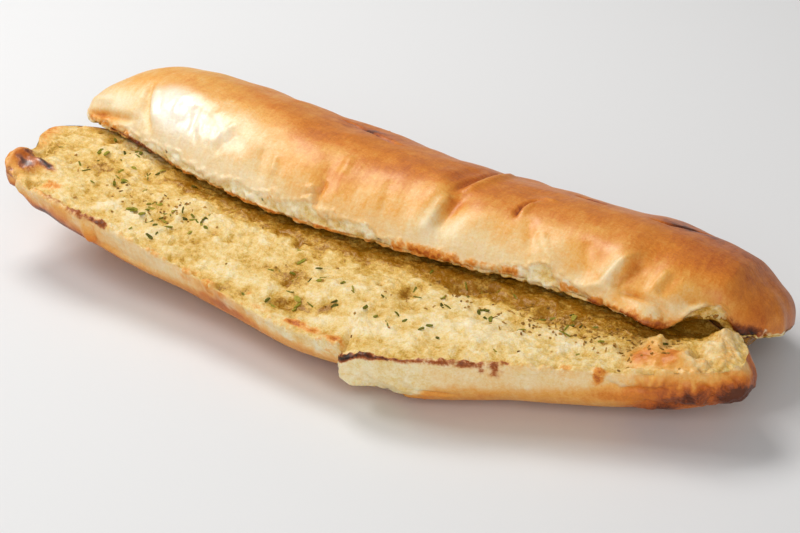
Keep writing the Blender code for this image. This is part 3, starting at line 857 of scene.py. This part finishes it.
# The burnt left end gets coat gloss, and a painted highlight where the mark runs high
glaze = 0.10 + 0.7 * ease(burn, 0.2, 0.6) * ease(-x, 112, 118)
marks = {"crumb": crumb * (1 - ease(burn, 0.3, 0.6)), "soak": soak, "bake": bake, "toast": toast,
         "burn": burn, "glaze": glaze}
bottom = closed_mesh("bottom_bread", shaped, marks)
bottom.data.materials.append(bread_finish("buttered_bread"))
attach(bottom, "root")
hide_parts("bottom_half")

# --- Top half -----------------------------------------------------------------------
# The upper half of the roll, slid back and leaning on the bottom half. Its thin crust is
# glazed and baked golden, creased across where the dough was scored, and pales towards
# the front rim, where the crust has torn and the crumb under it shows.

# Its two ends, how squarely it closes there, and its back rim and height at the stations
TOP_ENDS = (-132.0, 138.5)
TOP_END_WIDTH = (9.0, 3.6)
TOP_END_HEIGHT = (3.4, 2.8)
TOP_BACK_Y = (60, 61, 62, 62, 62, 62, 62, 61, 58)
TOP_BACK_Z = (16, 13, 7, 2, 0, 0, 0, 2, 6)
TOP_HEIGHT = (26, 31, 31.8, 30.8, 29.4, 27, 27, 28.8, 25.5)
TOP_SQUARENESS = 2.3

# It lies this far off the cut face, arches over the recess by the knob, and its right
# tip droops over this stretch
CONTACT_GAP = 1.0
ARCH_X = 121
ARCH_LENGTH = 9
ARCH_LIFT = 5.0
ARCH_CLOSED_Y = 12
TIP_X = (123, 131)
TIP_DROOP = 5.0
# The torn band of the rim is this high, and the underside draws back behind it
RIM_BAND = 3.2
UNDERCUT = 2.4
# The lip beside the knob hangs down at its tip, and the recess draws in and is darkened
# with painted shade (x, distance up from the rim, radius x, radius, amount)
LIP_DROOP = 3.0
LIP = ((105, 1.0, 8.5, 3.0, 1.0),)
LIP_TIP = ((110, 0, 4.5, 4, 1.0),)
RECESS = ((121, 0, 5, 3.5, 1.0),)
# Behind the knob the crumb hangs down: how far, and over which stretches along and across
HANG = 7.5
HANG_X = (100, 112, 128, 134)
HANG_Y = (1, 6, 14, 30)
DOME_RADIUS = 25
TOP_RAGGED = 0.8
# Where its back rests on the floor: below this height, behind this line
RESTING_Z = 1.2
RESTING_Y = 40

# Mesh density: points up the torn band, over the dome and along the underside
BAND_POINTS = 9
DOME_POINTS = 140
UNDER_POINTS = 46
# The rings are spaced as on a half of this half width and height
TOP_SECTION = (34, 26)

# Swellings (x, angle, radius x, radius angle, height) of the crust. The angle runs over
# the dome from 0 degrees at the front rim to 180 at the back rim.
CRUST_SWELLINGS = (
    (20, 45, 4.5, 38, 1.4),
    (29, 40, 4.5, 26, -1.6),
    (48, 70, 5, 18, -0.9),
    (90, 35, 5, 40, 1.5),
    (100, 30, 5, 30, -1.5),
    (-102, 18, 3.5, 26, -1.5),
    (-88, 40, 12, 30, 1.2),
    (-28, 112, 16, 9, 1.6),
    (34, 112, 8, 8, 1.4),
    (93, 120, 13, 9, 1.6),
    (-18, 26, 4, 16, -1.2),
    (68, 22, 6, 12, 1.2),
    (106, 8, 12, 12, 3.0),
    (123, 8, 8, 16, -3.0),
    (60, 60, 25, 40, 0.6),
    (-60, 90, 30, 40, 0.6),
)

# Creases and folds of the crust (width, height, its line of x, angle)
CREASES = (
    (1.8, 0.9, ((21.5, 10), (23.6, 20), (24.3, 31), (25.0, 39), (25.4, 47))),
    (2.4, -1.0, ((27.0, 16), (27.8, 28), (28.4, 38), (28.6, 48))),
    (1.2, -1.3, ((25.2, 48), (26.4, 62), (27.6, 76), (27.6, 90), (26.6, 104))),
    (1.9, 1.2, ((28.4, 50), (29.6, 62), (30.8, 76), (30.8, 92), (29.6, 106))),
    (3.0, -0.6, ((20.5, 56), (22.0, 70), (23.0, 86))),
    (0.65, -1.6, ((50.2, 40), (49.6, 47), (49.5, 54), (50.8, 62), (53.0, 67))),
    (1.1, 0.8, ((51.8, 43), (51.4, 52), (52.6, 60))),
    (1.2, 0.6, ((52.5, 71), (55.0, 68), (58.0, 69))),
    (1.5, 1.3, ((76, 4), (83, 7), (88, 11.5), (89.6, 20), (91.0, 27), (92.4, 34), (96, 46))),
    (2.8, -1.3, ((92.5, 9), (93.6, 18), (95.6, 28), (98.6, 40))),
    (1.6, 0.7, ((103.6, 14), (104.6, 24), (106.0, 36))),
    (2.0, -0.7, ((107.0, 12), (107.8, 24), (109.5, 36))),
    (1.0, -2.0, ((93.5, 9), (98.8, 11), (103.5, 10), (108.5, 8), (112.5, 4))),
    (1.1, 1.2, ((113.4, 3), (116.5, 6), (120.5, 11))),
    (1.5, -0.36, ((-79.5, 44), (-78.4, 37), (-77.5, 28), (-72.0, 17))),
    (1.6, 0.3, ((-75.6, 40), (-74.4, 30), (-70.5, 20))),
    (1.6, 0.42, ((-68.0, 20), (-65.4, 27), (-62.5, 36), (-59.5, 42))),
    (1.5, -0.4, ((-64.0, 16), (-60.5, 26), (-57.0, 36))),
    (2.2, 0.3, ((-88, 48), (-86, 38), (-85.5, 26))),
    (2.0, 0.3, ((-71, 46), (-69.5, 38), (-69, 30))),
    (0.8, -1.3, ((-18.6, 28), (-17.8, 23), (-18.4, 18), (-18.4, 13), (-17.6, 7))),
    (0.8, -1.0, ((-18.6, 20), (-20.6, 17), (-24.0, 14))),
    (1.5, 0.9, ((-22.5, 22), (-21.2, 17), (-21.0, 10))),
    (1.7, 0.6, ((-15.0, 52), (-13.8, 42), (-13.4, 34))),
    (1.3, 0.7, ((-40, 34), (-38.5, 26), (-38, 18))),
    (1.4, -1.4, ((-132, 10), (-125.6, 6), (-119, 10), (-110, 11), (-104, 13))),
    (1.6, 0.8, ((-131, 30), (-124, 26), (-117, 24))),
    (1.8, -1.4, ((-105.6, 50), (-103.4, 37), (-101.4, 27), (-98.0, 17), (-93.6, 8))),
    (2.2, 0.9, ((-101.5, 46), (-99.5, 35), (-97.0, 25), (-93.5, 16))),
    (1.6, 0.6, ((61, 34), (65, 24), (71, 10))),
    (2.0, -0.5, ((55, 44), (58, 30), (61, 16))),
    (2.2, -0.6, ((77, 38), (79.5, 25), (81.5, 12))),
    (2.0, -0.5, ((-46, 34), (-43.5, 22), (-42, 10))),
    (2.2, -0.5, ((4, 44), (5.6, 30), (7, 14))),
    (1.1, -1.5, ((-40, 97), (-31, 95), (-26, 92), (-17.8, 88), (-5, 83))),
    (0.9, -0.9, ((57, 90), (64, 88), (71, 86))),
    (0.9, -1.3, ((86, 86), (93, 89), (97, 94), (101, 101), (106, 108))),
)


def top_lift(x, y):
    """The gap between the top half and the cut face: wide in front at the hollow by the knob."""
    arch = np.exp(-(((x - ARCH_X) / ARCH_LENGTH) ** 2)) * (1 - ease(y, 0, ARCH_CLOSED_Y))
    return CONTACT_GAP + ARCH_LIFT * arch - TIP_DROOP * ease(x, *TIP_X)


def top_underside(x, y):
    """The underside of the top half: along the cut face, then down behind the bottom."""
    _, back = bottom_rims(x)
    rear = along(TOP_BACK_Y, x)
    over = cut_height(x, np.minimum(y, back)) + top_lift(x, y)
    t = np.clip((y - back) / (rear - back), 0, 1)
    return over + (np.maximum(along(TOP_BACK_Z, x), 0) - over) * t


def top_ring(x):
    """One ring round the top half: (y, z, angle over the dome, distance up from the crust's rim).

    The distance is negative down the torn band, and more so along the underside, which
    the ring runs over first.
    """
    front = along(TOP_FRONT_Y, x)
    rear = along(TOP_BACK_Y, x)
    middle = (front + rear) / 2
    half = (rear - front) / 2 * end_closing(x, TOP_ENDS, TOP_END_WIDTH)
    closing = end_closing(x, TOP_ENDS, TOP_END_HEIGHT)
    band = RIM_BAND * closing
    foot = np.array([middle - half, top_underside(x, middle - half)])
    start = foot + (0, band)
    stop = np.array([middle + half, top_underside(x, middle + half)])
    chord = stop - start
    length = np.hypot(*chord)
    out = np.array([-chord[1], chord[0]]) / length
    height = along(TOP_HEIGHT, x) * closing
    angle = np.linspace(0, math.pi, OUTLINE_STEPS)
    c, s = -np.cos(angle), np.clip(np.sin(angle), 0, 1)
    power = 2 / TOP_SQUARENESS
    across = np.sign(c) * np.abs(c) ** power
    up = s**power
    dome = (start + stop) / 2 + np.outer(across, chord / 2) + np.outer(up * height, out)
    normal = np.stack([across * length / 2 * out[1] + up * height * out[0],
                       -across * length / 2 * out[0] + up * height * out[1]], axis=1)
    normal /= np.linalg.norm(normal, axis=1)[:, None]
    uneven = blots(np.full_like(angle, x), np.degrees(angle), CRUST_SWELLINGS)
    uneven = uneven + 0.5 * ripple(x, angle * DOME_RADIUS, 41)
    fade = closing * np.clip((math.pi - angle) * 2, 0, 1)
    dome = dome + normal * (uneven * fade)[:, None]
    dome[:, 1] = np.maximum(dome[:, 1], 0)
    y = middle + half * across
    under = np.stack([y, top_underside(np.full_like(y, x), y)], axis=1)
    dome[-1] = under[-1]
    dome = np.column_stack([dome, np.degrees(angle)])
    dome = respaced(dome, DOME_POINTS, 1 - 0.6 * ease(angle, 2.0, 2.4))
    under = respaced(under, UNDER_POINTS, 1 + 2.5 * (1 - ease(angle, 0.5, 0.9)))[::-1]
    share = np.linspace(0, 1, BAND_POINTS + 2)[1:-1]
    band_points = foot + np.outer(share, dome[0, :2] - foot)
    flat = np.zeros(BAND_POINTS)
    band_run = (share - 1) * np.hypot(*(dome[0, :2] - foot))
    under_run = band_run[0] - (runs(under)[-1] - runs(under))
    rows = [np.column_stack([band_points, flat, band_run]),
            np.column_stack([dome, runs(dome)]),
            np.column_stack([under[1:], np.full(len(under) - 1, 180.0), under_run[1:]])]
    return np.concatenate(rows)[::-1]


def dome_point(at_x, at_angle):
    """The place on the dome at a distance along the roll and an angle over it."""
    at_x = np.clip(at_x, TOP_ENDS[0] + 0.2, TOP_ENDS[1] - 0.2)
    ring = top_ring(at_x)[-BAND_POINTS - 1:-BAND_POINTS - DOME_POINTS:-1]
    return np.array([at_x, np.interp(at_angle, ring[:, 2], ring[:, 0]),
                     np.interp(at_angle, ring[:, 2], ring[:, 1])])


positions = ring_positions(TOP_ENDS, TOP_SECTION, TOP_END_WIDTH, TOP_END_HEIGHT, RINGS)
points, columns = rings_of(top_ring, positions)
x, y, z = points[:, :, 0], points[:, :, 1], points[:, :, 2]
angle, rim = columns[:, :, 0], columns[:, :, 1]

# How far the crust is torn back from the rim, and how baked it is there and over the
# top, at the stations
TOP_TORN = (0.8, 1.2, 2.4, 3.0, 3.4, 0.4, 3.2, 0.2, 0.4)
TOP_BAKE = (0.26, 0.10, 0.04, 0.12, 0.26, 0.18, 0.24, 0.36, 0.58)
TOP_HIGH_BAKE = (0.42, 0.42, 0.50, 0.64, 0.66, 0.66, 0.60, 0.65, 0.72)
UNDER_BAKE = 0.45

# Places where it is torn further (x, angle, radius x, radius angle, millimetres)
TORN_BACK = (
    (67, 8, 4.5, 14, 4.0), (121, 4, 6, 12, 4.4), (-26, 10, 5, 10, 1.5), (137, 0, 3, 8, 2.4),
    (-46, 4, 8, 8, 1.2), (2, 5, 9, 8, 1.0), (-84, 4, 8, 8, 1.0), (-21, 8, 3, 8, 2.0),
)
# Browner and paler places (x, angle, radius x, radius angle, amount) of the crust. Those at the score
# near x 22 to 28 and at the ridge near x 90 to 97 are painted light and shade: paler on the ridges,
# browner in the valleys beside them.
BROWNING_AND_PAINTED_LIGHT = (
    (28.2, 38, 2.6, 13, 0.18), (22.0, 74, 5.0, 20, 0.10), (25.6, 60, 1.8, 16, 0.05),
    (-14, 27, 10, 12, 0.14), (-38, 30, 10, 10, 0.06),
    (23.6, 28, 2.4, 14, -0.16), (33, 20, 7, 12, -0.08), (90, 22, 3.5, 16, -0.20),
    (80, 8, 6, 6, -0.14), (97, 24, 4, 14, 0.10), (115, 95, 22, 35, 0.12),
    (134, 20, 7, 20, 0.16), (-120, 7, 8, 5, 0.42), (-118, 26, 10, 12, -0.05),
    (-80, 35, 25, 14, -0.06), (49.9, 50, 0.9, 9, 0.3), (60, 30, 14, 14, -0.06),
    (108, 46, 10, 22, 0.08), (-26, 93, 14, 5, 0.30), (97, 95, 9, 7, 0.30),
    (64, 88, 8, 2.5, 0.2), (-10, 60, 20, 20, 0.06), (60, 75, 30, 18, 0.04),
    (107, 7, 7, 5, -0.22), (116, 7, 4, 4, -0.2), (77, 24, 4, 14, 0.06),
)
# The finely wrinkled crust, the shiniest, which ends at an edge drawn as a line of x and
# one of angles, and a less shiny place beside it. The shiniest place and the less shiny one
# get coat gloss and a painted highlight, their crust mixed towards white.
WRINKLED = ((-76, 30, 20, 22, 0.35),)
GLOSSIEST_HIGHLIGHT = ((-88, 32, 17, 20, 1.0),)
GLOSSIEST_HIGHLIGHT_EDGE_X = (-93, -97.5, -101, -102.8, -105.1)
GLOSSIEST_HIGHLIGHT_EDGE_ANGLE = (8, 17, 27, 35, 47)
LESS_GLOSS_AND_HIGHLIGHT = ((-62, 32, 12, 14, 1.0),)
# The scorched right tip
SCORCHED = ((131, 1, 4.4, 9, 1.1), (134, 9, 3, 9, 0.35))
# The creases near the ridge are dark at the bottom between these angles, all but the score
DARK_CREASE_ANGLE = (76, 84)
SCORE_X = 27
SCORE_REACH = 8
# Toasted and burnt stretches (x from, x to, distance up from the rim, width, amount)
TOP_TOAST = (
    (-130, -104, 1.0, 1.8, 0.8), (-92, -48, -0.9, 1.2, 0.9), (-52, -8, -0.9, 1.2, 1.0),
    (-14, 14, -0.8, 1.2, 0.9), (12, 44, 0.4, 2.6, 1.2), (38, 60, 1.2, 2.0, 0.9),
    (70, 84, 0.8, 2.2, 0.9), (82, 97, 0.2, 2.2, 1.0), (94, 115, 0.9, 2.0, 1.1),
)
TOP_BURN = (
    (-118, -106, -0.4, 1.2, 0.5), (-108, -91, -1.2, 1.6, 0.8), (-92, -82, -1.8, 1.1, 0.5),
    (95, 113, 0.5, 1.5, 0.55), (82, 90, -0.6, 1.4, 0.5),
)

clumps = fractal(points, 5.0, 4)
patches = fractal(points, (26, 16, 16), 3)
tear = fractal(points, 2.2, 3)
grain, _ = cells(points, 1.8)
spot_near, spot_number = cells(points, 5.0)
blisters = np.where(spot_number > 0.1, np.clip(1 - spot_near / 0.12, 0, 1), 0)
closing = end_closing(x, TOP_ENDS, TOP_END_HEIGHT)

torn_up = along(TOP_TORN, x) * (1 + 0.6 * patches) + 2.0 * clumps + 0.9 * tear
torn_up = np.maximum(torn_up + blots(x, angle, TORN_BACK), 0.2 * tear)
torn = 1 - ease(rim, torn_up - 0.35, torn_up + 0.35)
under = ease(-rim, RIM_BAND - 0.3, RIM_BAND + 0.3)
band = ease(-rim, -1, 1.2) * (1 - under)
creases = along_folds(points, CREASES, dome_point)
lip = blots(x, rim, LIP)
recess = blots(x, rim, RECESS)
torn_height = 1.1 * clumps + 1.0 * tear + 0.6 * (0.5 - grain) - 0.8 - 0.6 * band
crust_height = (0.30 * fractal(points, (12, 14, 14), 2) + 0.3 * blisters + creases
                + 0.5 * np.exp(-(((rim - torn_up - 0.5) / 0.9) ** 2)) * (1 + 1.5 * tear))
wrinkled = blots(x, angle, WRINKLED) * fractal(points, (2.2, 5, 5), 3)
height = torn * torn_height + (1 - torn) * (crust_height + wrinkled) + 0.8 * lip
height = height * (1 - 0.85 * under * ease(-rim, RIM_BAND + 1, RIM_BAND + 4))
height = height * (1 - ease(angle, 170, 178) * (rim > 0)) * np.clip(closing * 1.5, 0, 1)
on_floor = (z < RESTING_Z) & (y > RESTING_Y)
height = np.where(on_floor, np.minimum(height, 0), height)
shaped = points + outward(points) * height[:, :, None]
shaped[:, :, 0] += ragged_ends(points, TOP_ENDS, TOP_RAGGED)
shaped[:, :, 1] += 2.0 * recess - 4.0 * lip
shaped[:, :, 2] -= LIP_DROOP * blots(x, rim, LIP_TIP)
shaped[:, :, 1] += UNDERCUT * ease(-rim, 1.2, RIM_BAND) * (1 - ease(-rim, 9, 16)) * (1 - lip)
front, back = bottom_rims(x)
half = (back - front) / 2 * end_closing(x, BOTTOM_ENDS, BOTTOM_END_WIDTH)
behind = y - (front + back) / 2 - half
hanging = ease(x, *HANG_X[:2]) * (1 - ease(x, *HANG_X[2:]))
hanging = hanging * ease(behind, *HANG_Y[:2]) * (1 - ease(behind, *HANG_Y[2:])) * under
shaped[:, :, 2] -= HANG * hanging
shaped[:, :, 2] = np.maximum(shaped[:, :, 2], 0)

front_bake = along(TOP_BAKE, x)
bake = front_bake + (along(TOP_HIGH_BAKE, x) - front_bake) * ease(angle + 8 * patches, 6, 72)
bake = bake + 0.08 * ease(angle, 80, 125)
bake = bake + 0.08 * patches + blots(x + tear, angle + 4 * clumps, BROWNING_AND_PAINTED_LIGHT)
# Painted shade and highlight: the crust is browner in the valleys of its creases and paler on their
# ridges. It is also paler on its blisters.
bake = bake - 0.12 * blisters - 0.07 * creases
bake = np.where(under > 0.5, UNDER_BAKE, bake)
# The torn band darkens towards its foot as painted shade under the rim, and the recess by the knob is
# darkened as painted shade too
soak = 0.3 - 0.3 * clumps - 0.3 * tear + 0.9 * ease(-rim, 0.2, RIM_BAND)
soak = soak + 0.1 * under + 0.35 * recess
ragged = 0.6 * tear + 0.4 * clumps
toast = rim_marks(x, rim, TOP_TOAST, ragged) * (0.35 + 0.65 * ease(clumps + tear, -0.6, 0.3))
toast = np.maximum(toast, 0.5 * np.exp(-(((rim - torn_up) / 0.5) ** 2)) * ease(tear, -0.2, 0.4))
scorched = blots(x + 0.8 * tear, angle, SCORCHED)
burn = np.maximum(rim_marks(x, rim, TOP_BURN, ragged), scorched * (rim > -2))
dark_crease = np.clip(-creases - 0.7, 0, 1) * ease(angle, *DARK_CREASE_ANGLE)
dark_crease = dark_crease * (np.abs(x - SCORE_X) > SCORE_REACH)
burn = np.maximum(burn, 0.4 * dark_crease * (1 - torn))
# Coat gloss over the dome, and at the shiniest places a painted highlight as well
glossiest_highlight_edge = np.interp(angle, GLOSSIEST_HIGHLIGHT_EDGE_ANGLE, GLOSSIEST_HIGHLIGHT_EDGE_X)
glossiest_highlight = ease(x - glossiest_highlight_edge, -0.5, 1.5) * blots(x, angle, GLOSSIEST_HIGHLIGHT)
glaze = 0.14 + 0.86 * glossiest_highlight + 0.4 * blots(x, angle, LESS_GLOSS_AND_HIGHLIGHT) + 0.12 * patches
marks = {"crumb": torn * (1 - ease(burn, 0.3, 0.6)), "soak": soak, "bake": bake, "toast": toast,
         "burn": burn, "glaze": np.maximum(glaze, 0)}
top = closed_mesh("top_bread", shaped, marks)
top.data.materials.append(bread_finish("golden_bread"))
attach(top, "root")
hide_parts("top_half")

# --- Herbs --------------------------------------------------------------------------
# Dried herb flakes stirred into the butter: flat bits of leaf, green to olive, and
# smaller brown bits and stems. They lie stuck in the soaked crumb, singly and in drifts.

# Drifts of herbs (x, y, radius x, radius y, share of the flakes) on the cut face, and how
# tightly they gather in them
LEAF_DRIFTS = (
    (-66, -27, 14, 8, 0.22), (-98, -10, 18, 12, 0.20), (88, -22, 24, 8, 0.10),
    (32, -38, 12, 9, 0.10), (-4, -38, 13, 9, 0.12), (48, -24, 14, 8, 0.06),
    (52, -13, 7, 1.6, 0.05),
)
BIT_DRIFTS = (
    (88, -21, 26, 8, 0.58), (-70, -24, 16, 8, 0.12), (46, -22, 16, 7, 0.08),
)
DRIFT_SPREAD = 0.7
# Herbs outside the drifts lie anywhere here, and none lies beyond these places or nearer
# to the rims than these margins
LOOSE_X = (-130, 124)
LOOSE_Y = (-60, 12)
HERB_X = (-128, 125)
FRONT_MARGIN = 3
BACK_MARGIN = 2
# The same for how far behind the top half's rim they may lie
TUCKED_UNDER = 3
RAY_HEIGHT = 0.1
# How unevenly flakes lie, and how far the middle of each is above the crumb, of its
# thickness
FLAKE_TILT = 0.22
FLAKE_RAISED = 0.25

# Kinds of flakes in each mesh: a count, then the shortest, longest and usual length, the
# same for the width, and the thickness
LEAF_KINDS = (
    (70, (1.6, 4.0, 2.4), (0.6, 1.5, 0.9), 0.3),
    (50, (1.8, 4.4, 2.6), (0.32, 0.6, 0.42), 0.25),
)
BIT_KINDS = (
    (230, (0.5, 1.6, 0.8), (0.35, 0.8, 0.5), 0.28),
    (60, (1.2, 3.0, 1.8), (0.25, 0.45, 0.3), 0.25),
)
LEAF_TONES = (
    (0.0, linear(64, 60, 17)), (0.35, linear(106, 104, 26)), (0.7, linear(146, 140, 42)),
    (1.0, linear(178, 160, 68)),
)
BIT_TONES = (
    (0.0, linear(104, 72, 26)), (0.5, linear(164, 118, 50)), (1.0, linear(206, 160, 84)),
)


def herb_place(draw, drifts):
    """A seeded place on the open cut face, in one of the drifts or anywhere."""
    while True:
        pick = draw.random()
        x = draw.uniform(*LOOSE_X)
        y = draw.uniform(*LOOSE_Y)
        for at_x, at_y, size_x, size_y, share in drifts:
            if 0 <= pick < share:
                x = draw.gauss(at_x, size_x * DRIFT_SPREAD)
                y = draw.gauss(at_y, size_y * DRIFT_SPREAD)
            pick -= share
        front, back = bottom_rims(x)
        open_to = min(along(TOP_FRONT_Y, x) + TUCKED_UNDER, back - BACK_MARGIN)
        if front + FRONT_MARGIN < y < open_to and HERB_X[0] < x < HERB_X[1]:
            return x, y


def flake(draw, length, width, thick):
    """One bent, tapering flake: rings of four points along it, in millimetres."""
    bend = draw.uniform(-0.5, 0.5)
    twist = draw.uniform(-0.6, 0.6)
    points = []
    for t in (0, 0.3, 0.7, 1):
        half = width / 2 * (0.25 + 1.1 * math.sin(math.pi * (0.12 + 0.76 * t)))
        half = half * draw.uniform(0.75, 1.2)
        lift = bend * length * t * (1 - t)
        turn = twist * (t - 0.5)
        for side, level in ((-1, 0), (1, 0), (1, 1), (-1, 1)):
            across = Vector((0, side * half, (level - 0.5) * thick))
            across.rotate(Matrix.Rotation(turn, 3, "X"))
            points.append(Vector(((t - 0.5) * length, 0, lift)) + across)
    faces = [(3, 2, 1, 0), (12, 13, 14, 15)]
    for ring in (0, 4, 8):
        for i in range(4):
            j = (i + 1) % 4
            faces.append((ring + i, ring + j, ring + j + 4, ring + i + 4))
    return points, faces


def scatter(name, seed, kinds, drifts):
    """A joined mesh of flakes lying on the cut face, sunk a little into it."""
    draw = random.Random(seed)
    verts, faces, tones = [], [], []
    for length, width, thick in [kind[1:] for kind in kinds for _ in range(kind[0])]:
        x, y = herb_place(draw, drifts)
        above = Vector(((x - BOX_MIDDLE[0]) * MM, (y - BOX_MIDDLE[1]) * MM, RAY_HEIGHT))
        hit, normal, _, _ = surface.ray_cast(above, Vector((0, 0, -1)))
        points, sides = flake(draw, draw.triangular(*length), draw.triangular(*width), thick)
        tilt = FLAKE_TILT * Vector((draw.gauss(0, 1), draw.gauss(0, 1), 1))
        lie = (normal + tilt).normalized()
        spin = Matrix.Rotation(draw.uniform(0, 2 * math.pi), 3, "Z")
        turn = lie.to_track_quat("Z", "Y").to_matrix() @ spin
        first = len(verts)
        verts += [hit + turn @ (p * MM) + lie * FLAKE_RAISED * thick * MM for p in points]
        faces += [tuple(first + i for i in side) for side in sides]
        tones += [draw.random()] * len(points)
    data = bpy.data.meshes.new(name)
    data.from_pydata(verts, [], faces)
    data.attributes.new("tone", "FLOAT", "POINT").data.foreach_set("value", tones)
    piece = bpy.data.objects.new(name, data)
    bpy.context.scene.collection.objects.link(piece)
    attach(piece, "root")
    return piece


def herb_finish(name, stops):
    """Dull dried leaf: its own tone for each flake, finely mottled."""
    m = Finish(name)
    tone = m.mark("tone") * 0.8 + (m.clouds(0.6, 2) - 0.5) * 0.9 + 0.1
    m.set(base_color=m.ramp(tone, *stops), roughness=0.55 + m.clouds(1.0) * 0.3,
          normal=m.bump(m.clouds(0.35, 2), 0.12))
    m.shader.inputs["Specular IOR Level"].default_value = 0.12
    return m.material


vertices = [v.co for v in bottom.data.vertices]
surface = BVHTree.FromPolygons(vertices, [p.vertices for p in bottom.data.polygons])
leaves = scatter("herb_leaves", 5, LEAF_KINDS, LEAF_DRIFTS)
leaves.data.materials.append(herb_finish("dried_leaf", LEAF_TONES))
bits = scatter("herb_bits", 6, BIT_KINDS, BIT_DRIFTS)
bits.data.materials.append(herb_finish("dried_stem", BIT_TONES))
